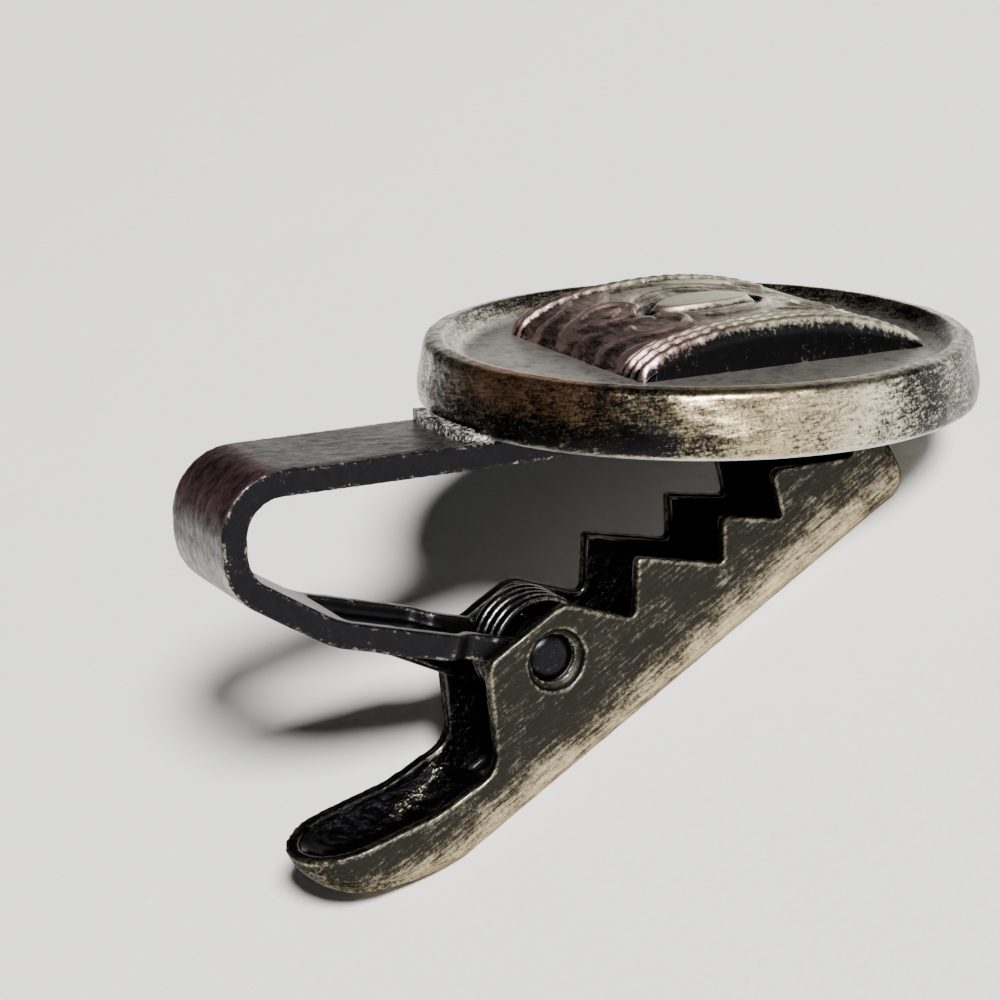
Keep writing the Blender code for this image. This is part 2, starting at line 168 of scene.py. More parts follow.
class HingeSettings(bpy.types.PropertyGroup):
    """The hinge pin and the torsion spring round it."""

    pin_radius: length("Pin radius", "Radius of the hinge pin", 1.0)
    pin_half_length: length("Pin half length", "Half the pin's length", 2.2)
    wire_radius: length("Wire radius", "Radius of the spring's wire", 0.25)
    coil_radius: length("Coil radius", "Radius of the coil's centreline", 2.25)
    coil_half_span: length("Coil half span", "Half the coil's width along the pin", 1.08)
    turns: bpy.props.IntProperty(name="Turns", description="Turns of the coil, rounded up", default=4)
    strap_leg: length("Strap leg", "Reach of the leg that presses under the strap", 7.5)
    jaw_leg_x: length("Jaw leg X", "Where the leg on the jaw ends, from the pin along X", -4.4)
    jaw_leg_z: length("Jaw leg Z", "Where the leg on the jaw ends, from the pin along Z", -4.0)


class FinishSettings(bpy.types.PropertyGroup):
    """Colours of the antiqued plating."""

    black: tint("Black plate", "The plate where it is still black", 0.012, 0.012, 0.014)
    bare: tint("Rubbed silver", "Silver rubbed bare on what stands out", 0.72, 0.65, 0.50)
    satin: tint("Satin grey", "The strap's smooth grey", 0.30, 0.29, 0.275)
    dish: tint("Dish silver", "The dish's mottled silver", 0.58, 0.56, 0.52)
    wall_tone: tint("Wall tone", "What the jaw's silver is darkened by on its walls", 0.46, 0.47, 0.46)
    spine_tone: tint("Spine tone", "What the jaw's silver is darkened by on its spine", 0.74, 0.66, 0.52)
    purple: tint("Purple tarnish", "Tarnish on the loop and on the pad", 0.40, 0.18, 0.21)
    rust: tint("Brown patina", "Patina on the rim's left side", 0.80, 0.42, 0.22)
    olive: tint("Olive patina", "Patina on the front of the rim", 0.40, 0.32, 0.17)
    solder: tint("Solder", "Dull solder with its white crust", 0.62, 0.61, 0.57)
    paper: tint("Paper", "The sheet that the clip lies on", 0.90, 0.90, 0.885)


class StageSettings(bpy.types.PropertyGroup):
    """The floor, the lights and the camera."""

    floor_size: length("Floor size", "Side of the square floor", 3000)
    lens: amount("Lens", "Focal length in millimetres on a 36 mm frame", 108)
    camera_roll: angle("Camera roll", "Turn of the camera about its line of sight", 31.35)
    lamp_distance: length("Lamp distance", "From the clip to the lamp", 2500)
    lamp_size: length("Lamp size", "Diameter of the lamp", 420)
    lamp_power: amount("Lamp power", "Power of the lamp in watts", 228)
    lamp_toward: direction("Lamp direction", "From the clip toward the lamp", (0.02, -0.78, 0.62))
    camera_x: length("Camera X", "Camera's place from the pin along X", -29.66)
    camera_y: length("Camera Y", "Camera's place from the pin along Y", -109.11)
    camera_z: length("Camera Z", "Camera's height over the pin", 63.67)
    camera_sight: direction("Line of sight", "Where the camera looks", (0.251, 0.857, -0.4501))
    sky_low: tint("Low sky", "The sky at the horizon", 0.34, 0.34, 0.336)
    sky_high: tint("High sky", "The sky overhead", 0.02, 0.02, 0.021)


# Surfaces


def unit(vectors):
    return vectors / np.maximum(np.linalg.norm(vectors, axis=-1, keepdims=True), 1e-12)


def smoothstep(low, high, values):
    """0 below low, 1 above high, and a smooth S between them."""
    share = np.clip((values - low) / (high - low), 0, 1)
    return share * share * (3 - 2 * share)


def ripples(points, wavelength, seed, waves=32):
    """A smooth random height of about -1 to 1: cosine waves in random directions, added up."""
    draw = np.random.default_rng(seed)
    directions = unit(draw.normal(size=(waves, 3))).T
    directions *= math.tau / wavelength * draw.uniform(0.6, 1.5, waves)
    return np.cos(points @ directions + draw.uniform(0, math.tau, waves)).sum(axis=-1) / math.sqrt(waves)


def resampled(path, spacing):
    """The path's points at even steps of about this spacing."""
    run = np.concatenate([[0], np.cumsum(np.linalg.norm(np.diff(path, axis=0), axis=1))])
    even = np.linspace(0, run[-1], max(2, round(run[-1] / spacing)))
    return np.stack([np.interp(even, run, path[:, axis]) for axis in range(path.shape[1])], axis=1)


def rounded_path(corners, arc_step=math.radians(4)):
    """Straight runs between (x, y, radius) corners, each corner an arc that touches both its runs."""
    places = np.array([corner[:2] for corner in corners], float)
    path = [places[:1]]
    for index in range(1, len(corners) - 1):
        back, ahead = unit(places[index - 1] - places[index]), unit(places[index + 1] - places[index])
        half, radius = math.acos(back @ ahead) / 2, corners[index][2]
        centre = unit(back + ahead) * radius / math.sin(half)
        first, last = back * radius / math.tan(half) - centre, ahead * radius / math.tan(half) - centre
        turn = math.atan2(first[0] * last[1] - first[1] * last[0], first @ last)
        angles = np.linspace(0, turn, max(4, int(abs(turn) / arc_step)))[:, None]
        spokes = first * np.cos(angles) + np.array([-first[1], first[0]]) * np.sin(angles)
        path.append(places[index] + centre + spokes)
    path.append(places[-1:])
    return np.concatenate(path)


def grid_faces(rows, columns, wrap_rows=False, wrap_columns=False):
    """Quads between neighbouring points of a grid that is stored row by row."""
    last_row, last_column = rows if wrap_rows else rows - 1, columns if wrap_columns else columns - 1
    row, column = np.meshgrid(np.arange(last_row), np.arange(last_column), indexing="ij")
    next_row, next_column = (row + 1) % rows, (column + 1) % columns
    corners = [row * columns + column, next_row * columns + column]
    corners += [next_row * columns + next_column, row * columns + next_column]
    return np.stack([corner.ravel() for corner in corners], axis=1)


def carried(path, sections):
    """A closed solid: a cross-section at each path point, in its side and normal directions."""
    along = unit(np.gradient(path, axis=0))
    normal = np.stack([-along[:, 1], along[:, 0]], axis=1)
    flat = path[:, None, :] + normal[:, None, :] * sections[:, :, 1:]
    points = np.stack([flat[..., 0], sections[..., 0], flat[..., 1]], axis=-1)
    rows, columns = points.shape[:2]
    faces = grid_faces(rows, columns, wrap_columns=True).tolist()
    faces += [list(range(columns)), list(range(rows * columns - 1, (rows - 1) * columns - 1, -1))]
    return points.reshape(-1, 3), faces


def tube(path, radii, sides=16):
    """A round tube along the path, its circles square to it, closed to a point at both ends."""
    along = unit(np.gradient(path, axis=0))
    side = unit(np.cross(along, (0, 1, 0)))
    up = np.cross(side, along)
    path = np.concatenate([path[:1], path, path[-1:]])
    side, up = (np.concatenate([v[:1], v, v[-1:]]) for v in (side, up))
    radii = np.concatenate([[0], np.broadcast_to(radii, len(path) - 2), [0]])[:, None, None]
    around = np.linspace(0, math.tau, sides, endpoint=False)
    spokes = side[:, None] * np.cos(around)[:, None] + up[:, None] * np.sin(around)[:, None]
    return path[:, None] + spokes * radii, grid_faces(len(path), sides, wrap_columns=True)


def in_row_frame(points, tilt):
    """Points of the strap's frame, turned about Y by the tilt and moved to the pin."""
    u, y, w = points[..., 0], points[..., 1], points[..., 2]
    cosine, sine = math.cos(tilt), math.sin(tilt)
    return np.stack([u * cosine + w * sine, y, w * cosine - u * sine], axis=-1) + PIN


def in_strap_frame(vectors, tilt):
    """The u and w of vectors in the row's frame, turned back by the tilt."""
    cosine, sine = math.cos(tilt), math.sin(tilt)
    return vectors[:, 0] * cosine - vectors[:, 2] * sine, vectors[:, 0] * sine + vectors[:, 2] * cosine


def made_mesh(name, points, faces, merge=0.0, scale=MM):
    """A mesh object from points in millimetres, with near points merged and its faces turned outwards."""
    mesh = bpy.data.meshes.new(name)
    mesh.from_pydata((np.reshape(points, (-1, 3)) * scale).tolist(), [], [list(face) for face in faces])
    shape = bmesh.new()
    shape.from_mesh(mesh)
    if merge:
        bmesh.ops.remove_doubles(shape, verts=shape.verts, dist=merge * MM)
    bmesh.ops.recalc_face_normals(shape, faces=shape.faces)
    shape.to_mesh(mesh)
    shape.free()
    mesh.shade_smooth()
    made = bpy.data.objects.new(name, mesh)
    bpy.context.scene.collection.objects.link(made)
    return made


def weld(piece, distance=1e-4):
    """Merges the points that share a pole, keeping the stored values."""
    shape = bmesh.new()
    shape.from_mesh(piece.data)
    bmesh.ops.remove_doubles(shape, verts=shape.verts, dist=distance * MM)
    shape.to_mesh(piece.data)
    shape.free()


def points_of(mesh):
    points = np.empty(len(mesh.vertices) * 3, np.float32)
    mesh.vertices.foreach_get("co", points)
    return points.reshape(-1, 3).astype(float)


def normals_of(mesh):
    normals = np.empty(len(mesh.vertices) * 3, np.float32)
    mesh.vertex_normals.foreach_get("vector", normals)
    return normals.reshape(-1, 3).astype(float)


def edges_of(mesh):
    edges = np.empty(len(mesh.edges) * 2, np.int32)
    mesh.edges.foreach_get("vertices", edges)
    return edges.reshape(-1, 2)


def merged_triangles(mesh):
    """A CAD mesh's points in millimetres, each of them once, and its triangles between them."""
    corners = np.empty(len(mesh.loops), np.int32)
    mesh.loops.foreach_get("vertex_index", corners)
    points, index = np.unique(np.round(points_of(mesh), 8), axis=0, return_inverse=True)
    return points / MM, index.ravel()[corners.reshape(-1, 3)]


def neighbour_mean(values, edges):
    """For each point, the mean of its neighbours' values."""
    first, second = edges.T
    count = np.bincount(edges.ravel(), minlength=len(values))[:, None]
    columns = [
        np.bincount(first, column[second], len(values)) + np.bincount(second, column[first], len(values))
        for column in values.T
    ]
    return np.stack(columns, axis=1) / np.maximum(count, 1)


def store(piece, **values):
    """Keeps a number for each point of the mesh, under its name, for the material to read."""
    for name, numbers in values.items():
        attribute = piece.data.attributes.new(name, "FLOAT", "POINT")
        attribute.data.foreach_set("value", np.ascontiguousarray(numbers, np.float32).ravel())


def forged(name, points, faces, grain, rounds, dents):
    """One skin over overlapping solids, its edges worn round.

    The solids are remeshed together on cubes of the grain's size, each point is moved halfway to
    its neighbours' mean so many rounds, and small dents push it along its normal. The crest
    value is how far a point stands over its neighbours, so it is high on an outside edge.
    """
    rough = made_mesh(name + "_rough", points, faces, scale=1)
    step = rough.modifiers.new("Skin", "REMESH")
    step.mode = "VOXEL"
    step.voxel_size = grain / MM
    skin = bpy.data.meshes.new_from_object(rough.evaluated_get(bpy.context.evaluated_depsgraph_get()))
    old = rough.data
    bpy.data.objects.remove(rough)
    bpy.data.meshes.remove(old)
    skin.name = name
    edges, places = edges_of(skin), points_of(skin)
    for _ in range(rounds):
        places = (places + neighbour_mean(places, edges)) / 2
    skin.vertices.foreach_set("co", places.astype(np.float32).ravel())
    skin.update()
    normals = normals_of(skin)
    crest = np.einsum("ij,ij->i", places - neighbour_mean(places, edges), normals)[:, None]
    for _ in range(3):
        crest = (crest + neighbour_mean(crest, edges)) / 2
    push = dents * ripples(places, 0.9, 5) + 0.4 * dents * ripples(places, 0.35, 6)
    places = places + normals * push[:, None]
    skin.vertices.foreach_set("co", (places * MM).astype(np.float32).ravel())
    skin.shade_smooth()
    skin.update()
    piece = bpy.data.objects.new(name, skin)
    bpy.context.scene.collection.objects.link(piece)
    store(piece, crest=crest / 0.004)
    return piece, places, normals


def joined(*solids):
    """Several (points, faces) as one."""
    points, faces, start = [], [], 0
    for solid_points, solid_faces in solids:
        solid_points = np.reshape(solid_points, (-1, 3))
        points.append(solid_points)
        faces += [[int(corner) + start for corner in face] for face in solid_faces]
        start += len(solid_points)
    return np.concatenate(points), faces


def keep(piece, body, node, material):
    """Puts the piece on its body in place of a CAD node, with its finish."""
    piece.data.materials.clear()
    piece.data.materials.append(material)
    if node:
        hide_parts(node)
    if body:
        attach(piece, body)


# Materials


def node(tree, kind, inputs=(), **settings):
    """A new node. Each input is a value, or another node's output that is linked to it."""
    made = tree.nodes.new(kind)
    for name, value in settings.items():
        setattr(made, name, value)
    for socket, value in dict(inputs).items():
        if isinstance(value, bpy.types.NodeSocket):
            tree.links.new(value, made.inputs[socket])
        else:
            made.inputs[socket].default_value = value
    return made


def maths(tree, operation, first, second=0.0):
    return node(tree, "ShaderNodeMath", {0: first, 1: second}, operation=operation).outputs[0]


def total(tree, *values):
    """The values added up, from the first to the last."""
    added = values[0]
    for value in values[1:]:
        added = maths(tree, "ADD", added, value)
    return added


def times(tree, value, weight):
    return maths(tree, "MULTIPLY", value, weight)


def noise(tree, position, scale, detail=3.0, roughness=0.55):
    """Noise in 0 to 1 whose spots are about 1/scale millimetres wide."""
    inputs = {"Vector": position, "Scale": scale, "Detail": detail, "Roughness": roughness}
    return node(tree, "ShaderNodeTexNoise", inputs).outputs["Fac"]


def between(tree, value, low, high):
    """0 below low, 1 above high, smooth between them."""
    inputs = {"Value": value, "From Min": low, "From Max": high}
    return node(tree, "ShaderNodeMapRange", inputs, interpolation_type="SMOOTHSTEP").outputs["Result"]


def blended(tree, share, first, second):
    """Two colours mixed by the share of the second."""
    inputs = {"Factor": share, 6: first, 7: second}
    return node(tree, "ShaderNodeMix", inputs, data_type="RGBA").outputs[2]


def multiplied(tree, first, second):
    """Two colours multiplied, channel by channel."""
    inputs = {"Factor": 1.0, 6: first, 7: second}
    return node(tree, "ShaderNodeMix", inputs, data_type="RGBA", blend_type="MULTIPLY").outputs[2]


def spread(tree, mask, low, high):
    """A number that goes from low to high with the mask."""
    made = maths(tree, "MULTIPLY_ADD", mask, high - low)
    made.node.inputs[2].default_value = low
    return made


def attribute(tree, name):
    return node(tree, "ShaderNodeAttribute", attribute_name=name).outputs["Fac"]


def millimetres(tree, stretch=(1, 1, 1), turn=(0, 0, 0)):
    """The point's own coordinates in millimetres, turned and stretched along the axes."""
    place = node(tree, "ShaderNodeTexCoord").outputs["Object"]
    inputs = {"Vector": place, "Rotation": turn, "Scale": (1 / MM, 1 / MM, 1 / MM)}
    turned = node(tree, "ShaderNodeMapping", inputs).outputs["Vector"]
    return node(tree, "ShaderNodeVectorMath", {0: turned, 1: stretch}, operation="MULTIPLY").outputs["Vector"]


def new_group(name, inputs, outputs):
    """An empty node group with these sockets, and its input and output nodes."""
    group = bpy.data.node_groups.new(name, "ShaderNodeTree")
    for label, kind, value in inputs:
        socket = group.interface.new_socket(label, in_out="INPUT", socket_type=kind)
        if value is not None:
            socket.default_value = value
    for label in outputs:
        group.interface.new_socket(label, in_out="OUTPUT", socket_type="NodeSocketFloat")
    return group, group.nodes.new("NodeGroupInput"), group.nodes.new("NodeGroupOutput")


def antique_plate():
    """Where antiqued plate is rubbed bare.

    Speckles, blotches and brush streaks are three noises, each less its middle value and times its
    own weight. Their sum with Bare goes through a smoothstep, so they gather where Bare is high.
    """
    name = "antique_plate"
    if name in bpy.data.node_groups:
        return bpy.data.node_groups[name]
    sockets = [
        ("Position", "NodeSocketVector", None),
        ("Streaks", "NodeSocketVector", None),
        ("Bare", "NodeSocketFloat", 0.3),
        ("Speckle", "NodeSocketFloat", 1.0),
    ]
    group, given, result = new_group(name, sockets, ["Rubbed", "Shade", "Height"])
    blotch = noise(group, given.outputs["Position"], 0.55, 3.0)
    speckle = noise(group, given.outputs["Position"], 7.5, 5.0, 0.75)
    streak = noise(group, given.outputs["Streaks"], 3.4, 5.0, 0.7)
    spots = times(group, maths(group, "SUBTRACT", speckle, 0.5), given.outputs["Speckle"])
    lines = times(group, maths(group, "SUBTRACT", streak, 0.5), 1.5)
    clouds = times(group, maths(group, "SUBTRACT", blotch, 0.5), 0.8)
    rubbed = between(group, total(group, spots, lines, clouds, given.outputs["Bare"]), 0.18, 0.98)
    shade = total(group, times(group, streak, 0.8), times(group, speckle, 0.6))
    height = total(group, times(group, rubbed, -0.25), shade)
    for label, value in (("Rubbed", rubbed), ("Shade", shade), ("Height", height)):
        group.links.new(value, result.inputs[label])
    return group


def plate(tree, bare, speckle=1.6, stretch=(0.25, 2.0, 2.0), turn=(0, 0, 0)):
    """The antique plate's three outputs in this material."""
    made = node(tree, "ShaderNodeGroup", node_tree=antique_plate())
    for label, value in (
        ("Position", millimetres(tree)),
        ("Streaks", millimetres(tree, stretch, turn)),
        ("Bare", bare),
        ("Speckle", speckle),
    ):
        if isinstance(value, bpy.types.NodeSocket):
            tree.links.new(value, made.inputs[label])
        else:
            made.inputs[label].default_value = value
    return made.outputs["Rubbed"], made.outputs["Shade"], made.outputs["Height"]


def metal(name):
    """A new material, its tree and its shader, set to metal."""
    made = bpy.data.materials.new(name)
    made.use_nodes = True
    shader = made.node_tree.nodes["Principled BSDF"]
    shader.inputs["Metallic"].default_value = 1.0
    return made, made.node_tree, shader


def finish_metal(tree, shader, colour, shade, roughness, height, bump):
    """Links the colour, darkened by the shade, the roughness and a bump this many millimetres high."""
    shaded = multiplied(tree, colour, spread(tree, shade, 0.38, 0.38 + 0.9))
    tree.links.new(shaded, shader.inputs["Base Color"])
    tree.links.new(roughness, shader.inputs["Roughness"])
    relief = node(tree, "ShaderNodeBump", {"Height": height, "Strength": 1.0, "Distance": bump * MM})
    tree.links.new(relief.outputs["Normal"], shader.inputs["Normal"])


def jaw_material(finish):
    """Black speckled plate, rubbed to cream silver on the spine's bends, glossy and lumpy inside, with a
    painted highlight in the bowl.
    """
    made, tree, shader = metal("jaw_plate")
    shader.inputs["Specular Tint"].default_value = (0.35, 0.35, 0.35, 1.0)
    rub, crest, inside, glint = (attribute(tree, name) for name in ("rub", "crest", "inside", "glint"))
    edge = times(tree, between(tree, crest, 0.25, 1.3), 0.3)
    # The last term is a painted highlight: bare silver along a slanting line in the bowl.
    bare = total(tree, times(tree, rub, 0.5), edge, 0.13, times(tree, inside, -0.4), times(tree, glint, 0.75))
    rubbed, shade, height = plate(tree, bare, speckle=1.1)
    dark = blended(tree, spread(tree, inside, 0.05, 0.0), tuple(finish.black), tuple(finish.bare))
    tone = blended(tree, times(tree, rub, 0.75), tuple(finish.wall_tone), tuple(finish.spine_tone))
    colour = multiplied(tree, blended(tree, rubbed, dark, tuple(finish.bare)), tone)
    rough = total(tree, spread(tree, rubbed, 0.42, 0.36), times(tree, inside, -0.18))
    lumps = times(tree, noise(tree, millimetres(tree), 2.4, 4.0, 0.6), inside)
    height = total(tree, height, times(tree, lumps, 7.0))
    tree.links.new(times(tree, inside, 0.8), shader.inputs["Coat Weight"])
    shader.inputs["Coat Roughness"].default_value = 0.16
    finish_metal(tree, shader, colour, shade, rough, height, 0.03)
    return made


def strap_material(finish):
    """Smooth satin grey with purple tarnish on the loop, black on the cut edges and in the trough."""
    made, tree, shader = metal("strap_plate")
    side, tarnish, crest = (attribute(tree, name) for name in ("side", "tarnish", "crest"))
    edge = times(tree, between(tree, crest, 0.25, 1.2), 0.25)
    bare = total(tree, spread(tree, side, 0.62, -0.1), edge)
    rubbed, shade, height = plate(tree, bare, spread(tree, side, 0.7, 1.5), stretch=(0.5, 1.2, 0.5))
    satin = blended(tree, tarnish, tuple(finish.satin), tuple(finish.purple))
    satin = blended(tree, side, satin, tuple(finish.bare))
    colour = blended(tree, rubbed, tuple(finish.black), satin)
    finish_metal(tree, shader, colour, shade, spread(tree, rubbed, 0.38, 0.42), height, 0.015)
    return made


def concho_material(finish):
    """Mottled silver with slanting brush streaks, brown and olive patina on the rim's left, a painted
    highlight on its near side.
    """
    made, tree, shader = metal("concho_plate")
    rim, rust, olive = (attribute(tree, name) for name in ("rim", "rust", "olive"))
    # The rim's stored rubbing includes a painted highlight: bare silver on the near side of the rim.
    wear_and_painted_highlight = total(tree, times(tree, rust, 0.5), attribute(tree, "wear_and_painted_highlight"))
    edge = times(tree, attribute(tree, "crest"), 0.3)
    bare = total(tree, spread(tree, rim, 0.9, 0.36), edge, times(tree, wear_and_painted_highlight, 0.5))
    speckle = spread(tree, rim, 0.55, 1.9)
    rubbed, shade, height = plate(tree, bare, speckle, stretch=(0.5, 0.5, 2.4), turn=(0.1, -0.42, 0))
    silver = blended(tree, rim, tuple(finish.dish), tuple(finish.bare))
    silver = blended(tree, olive, silver, tuple(finish.olive))
    silver = blended(tree, rust, silver, tuple(finish.rust))
    colour = blended(tree, rubbed, tuple(finish.black), silver)
    finish_metal(tree, shader, colour, shade, spread(tree, rim, 0.42, 0.3), height, 0.02)
    return made


def pad_material(finish):
    """Black in the grooves and on the walls, purple-grey on the vault's left, silver on what stands out."""
    made, tree, shader = metal("pad_plate")
    raised, wall, tarnish = (attribute(tree, name) for name in ("raised", "wall", "tarnish"))
    bare = total(tree, spread(tree, raised, 0.05, 1.25), times(tree, wall, -0.2))
    rubbed, shade, height = plate(tree, bare, speckle=1.2, stretch=(1.0, 0.4, 1.0))
    silver = blended(tree, times(tree, tarnish, 0.8), tuple(finish.bare), tuple(finish.purple))
    colour = blended(tree, rubbed, tuple(finish.black), silver)
    finish_metal(tree, shader, colour, shade, spread(tree, rubbed, 0.3, 0.4), height, 0.02)
    return made


def steel_material(finish, name, bare, roughness):
    """Blackened steel with a few rubbed spots."""
    made, tree, shader = metal(name)
    rubbed, shade, height = plate(tree, bare, speckle=1.4)
    colour = blended(tree, rubbed, tuple(finish.black), tuple(finish.satin))
    finish_metal(tree, shader, colour, shade, spread(tree, rubbed, roughness, roughness + 0.1), height, 0.01)
    return made


def solder_material(finish):
    """Dull solder under a patchy white crust that isn't metallic."""
    made, tree, shader = metal("solder_crust")
    rubbed, shade, height = plate(tree, 0.45, speckle=2.2, stretch=(1, 1, 1))
    colour = blended(tree, rubbed, tuple(finish.black), tuple(finish.solder))
    tree.links.new(spread(tree, rubbed, 1.0, 0.35), shader.inputs["Metallic"])
    finish_metal(tree, shader, colour, shade, spread(tree, rubbed, 0.45, 0.65), height, 0.05)
    return made


# Shapes


def concho_section(sizes):
    """(radius, height) down the disc's section, with heights from the ridge.

    Straight runs with rounded corners: a flat dish, up to the ridge, a full round rim whose lowest
    part draws in, and the flat back. The points stand closest along the rim.
    """
    half, dish, back = sizes.radius / MM, -sizes.dish_depth / MM, -sizes.height / MM
    corners = [
        (0, dish, 0),
        (half - 2.0, dish, 0.6),
        (half - 1.2, 0.02, 0.25),
        (half - 0.42, -0.1, 0.4),
        (half - 0.06, -2.0, 1.5),
        (half - 0.15, back, 0.4),
        (0, back, 0),
    ]
    path = rounded_path(corners)
    run = np.concatenate([[0], np.cumsum(np.linalg.norm(np.diff(path, axis=0), axis=1))])
    rim_start, rim_end = half - 2.9, run[-1] - half + 1.2
    dish_stops, rim_stops = np.linspace(0, rim_start, 36), np.linspace(rim_start, rim_end, 66)[1:]
    stops = np.concatenate([dish_stops, rim_stops, np.linspace(rim_end, run[-1], 10)[1:]])
    return np.stack([np.interp(stops, run, path[:, axis]) for axis in range(2)], axis=1)


def concho_surface(sizes, around=560):
    """The section turned about the disc's axis: (r cos t, r sin t, height) for t round the circle.

    Two random waves, 2.2 and 0.6 mm long, push the rim in and out a little.
    """
    section = concho_section(sizes)
    turn = np.linspace(0, math.tau, around, endpoint=False) + math.pi / 2
    radius, height = section[:, :1], section[:, 1:]
    points = np.stack([radius * np.cos(turn), radius * np.sin(turn), height + 0 * turn], axis=-1)
    outward = unit(points * (1, 1, 0)) * smoothstep(10.2, 11.7, radius)[..., None]
    rough = 0.02 * ripples(points, 2.2, 11) + 0.008 * ripples(points, 0.6, 12)
    points = points + outward * rough[..., None]
    points[..., 2] += 0.4 * rough * smoothstep(0.5, 1.5, radius)
    return points, grid_faces(*points.shape[:2], wrap_columns=True)


def facing(turn, degrees, start, full):
    """1 where the rim faces this turn about the disc's axis, fading by the cosine of the angle from it."""
    return smoothstep(start, full, np.cos(turn - math.radians(degrees)))


def rim_marks(points):
    """What the disc stores for its finish: the rim, its patinas, the rubbed edge of its ridge, and its
    rubbing, which holds a painted highlight.

    Turns are counted from the arm's end toward the far side, so -90 degrees is the near side. The
    rust also fades down the rim, and the lower left of the rim is rubbed least. The rubbing value
    is partly a painted highlight: bare silver raised round -98 degrees on the near side stands for
    a highlight there. Its other terms give a little more bare silver at 180 degrees and less round
    -48 degrees.
    """
    turn, out = np.arctan2(points[..., 1], points[..., 0]), np.hypot(points[..., 0], points[..., 1])
    height = points[..., 2]
    rim = smoothstep(10.2, 10.9, out) * smoothstep(-2.85, -2.6, height)
    # Painted highlight: more bare silver round -98 degrees on the near side. The other terms move the rubbing
    # at 180 and -48 degrees and at the lower left.
    wear_and_painted_highlight = 0.75 * facing(turn, -98, 0.85, 1.0) + 0.2 * facing(turn, 180, 0.8, 1.0)
    wear_and_painted_highlight = wear_and_painted_highlight - 0.28 * facing(turn, -48, 0.6, 1.0)
    low_left = facing(turn, -150, 0.5, 1.0) * smoothstep(-0.9, -2.4, height)
    return {
        "rim": rim,
        "rust": 0.8 * rim * facing(turn, -158, 0.9, 1.0) * smoothstep(-2.3, -0.9, height),
        "olive": 0.85 * rim * facing(turn, -128, 0.66, 0.95),
        "wear_and_painted_highlight": rim * (wear_and_painted_highlight - 0.5 * low_left),
        "crest": np.exp(-(((out - RIDGE_RADIUS) / 0.3) ** 2)) * (height > -1),
    }


def stroke(a, b, centre, radius, start, end, width):
    """How near a point is to an arc: 1 on its line, falling to 0 in a bell of this width."""
    da, db = a - centre[0], b - centre[1]
    middle, half = math.radians((start + end) / 2), math.radians(abs(end - start) / 2)
    turn = np.abs((np.arctan2(db, da) - middle + math.pi) % math.tau - math.pi)
    off_end = np.maximum(turn - half, 0) * radius
    return np.exp(-((np.hypot(da, db) - radius) ** 2 + off_end**2) / width**2)


def pad_relief(a, b, near, far):
    """The pad's ornament, in -1 to 1: an oval boss in a moat, leaf ribs down the slopes, curls and beads.

    a runs along the vault from the boss and b across it. Ribs are a sine of a slanting
    coordinate, curls are arcs, and the beads are straight ridges along the near and far edges.
    """
    oval = np.hypot(a / 2.35, b / 1.1)
    boss = smoothstep(1.05, 0.92, oval) - 1.2 * np.exp(-(((oval - 1.18) / 0.1) ** 2))
    slant = np.abs(b) * 0.9 + np.abs(a) * 0.35 + 0.5 * np.sin(a * 0.9)
    ribs = np.sin(slant * 3.5 + 0.8 * np.sin(b * 1.7 + a)) ** 3
    ribs += 0.5 * np.sin(a * 3.0 + 1.1 * np.sin(b * 2.1)) * np.exp(-((b / 2.5) ** 2))
    relief = 0.55 * ribs * smoothstep(1.3, 1.7, oval)
    curls = [
        ((4.3, -2.5), 1.15, 20, 330, 0.2),
        ((-3.9, 1.4), 1.2, 200, 500, 0.2),
        ((3.9, 2.4), 1.1, 30, 300, 0.2),
        ((-3.4, -2.0), 1.2, 150, 420, 0.2),
        ((0.0, 0.0), 3.3, 30, 150, 0.18),
        ((0.0, 0.3), 3.0, 205, 335, 0.18),
    ]
    for centre, radius, start, end, width in curls:
        relief = np.maximum(relief, 0.95 * stroke(a, b, centre, radius, start, end, width))
        relief -= 0.9 * stroke(a, b, centre, radius - 2.2 * width, start, end, width * 0.7)
    relief = np.where(oval < 1.4, boss, relief)
    band = smoothstep(near + 1.75, near + 1.55, b) + smoothstep(far - 1.3, far - 1.1, b)
    beads = np.cos((b - near - 0.28) * math.tau / 0.56) + 0.12 * np.sin(a * 9)
    return relief * (1 - band) + beads * band * 0.85


